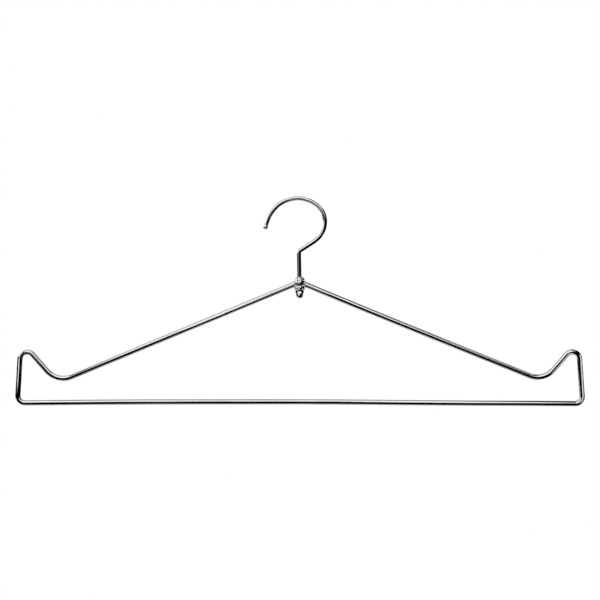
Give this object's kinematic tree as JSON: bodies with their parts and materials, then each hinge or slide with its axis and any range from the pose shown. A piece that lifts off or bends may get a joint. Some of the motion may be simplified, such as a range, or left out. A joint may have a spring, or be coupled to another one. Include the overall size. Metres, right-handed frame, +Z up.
{
  "type": "lead apron hanger",
  "caption": "Chrome wire hanger for a lead apron: sloping arms, shoulder dips with upright ears, a straight lower rail, and a hook that swivels freely.",
  "frame": {"origin": "where a carrying rail bears: the top of the hook's inside, on the swivel axis", "axes": "+X towards the right ear as seen from the front, +Y back through the wire's plane, +Z up along the stem"},
  "size_m": [0.5502, 0.01, 0.2028],
  "materials": {
    "frame_chrome": "bright plated, faint drawing lines along the wire",
    "hook_chrome": "bright plated, faint drawing lines along the rod",
    "fittings_chrome": "bright plated over turned faces"
  },
  "bodies": {
    "hanging_hook": {"hook": "hook_chrome", "upper_collar": "fittings_chrome", "lower_collar": "fittings_chrome", "flat_washer": "fittings_chrome", "cap_nut": "fittings_chrome"},
    "wire_frame": {"frame_wire": "frame_chrome", "swivel_bush": "fittings_chrome"}
  },
  "joints": [
    {"name": "hook_swivel", "type": "hinge", "parent": "hanging_hook", "child": "wire_frame", "pos_m": [0, 0, -0.07984], "axis": [0, 0, 1], "continuous": true}
  ]
}
